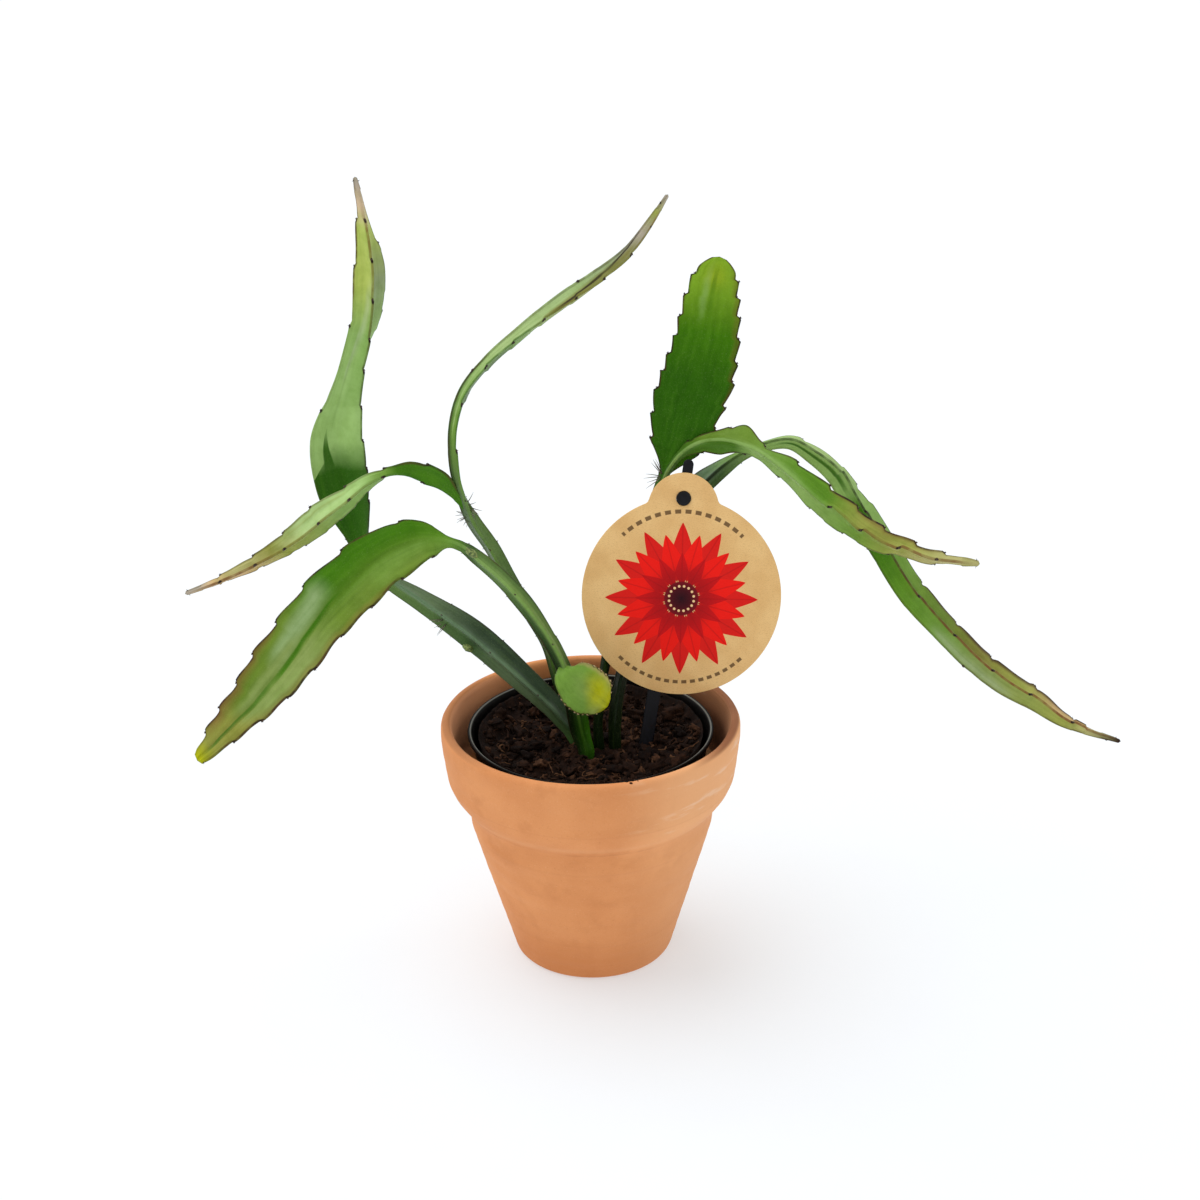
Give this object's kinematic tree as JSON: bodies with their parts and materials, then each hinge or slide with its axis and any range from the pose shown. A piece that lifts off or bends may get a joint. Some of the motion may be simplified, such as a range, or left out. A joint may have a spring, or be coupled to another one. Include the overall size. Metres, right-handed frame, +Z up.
{
  "type": "potted orchid cactus",
  "caption": "Trailing orchid cactus with flat toothed stems, rooted in a nursery pot inside a clay pot, with a round card tag on a stick.",
  "frame": {"origin": "on the ground plane under the middle of the whole plant's width and depth; the pot's own axis is at x = -0.035 m", "axes": "+Z up, +X to the viewer's right along the spread of the leaves, +Y to the back; the tag faces -Y"},
  "size_m": [0.4035, 0.13, 0.3378],
  "materials": {
    "terracotta": "matte",
    "black_plastic": "satin",
    "potting_soil": "matte",
    "leaf_green": "satin",
    "stick_plastic": "satin",
    "kraft_card": "matte"
  },
  "bodies": {
    "root": {"clay_pot": "terracotta", "nursery_pot": "black_plastic", "potting_soil": "potting_soil", "stem_left_low": "leaf_green", "stem_left_front": "leaf_green", "stem_left_back": "leaf_green", "stem_right_back": "leaf_green", "stem_right_far": "leaf_green", "tag_stick": "stick_plastic", "picture_tag": "kraft_card"}
  },
  "joints": []
}
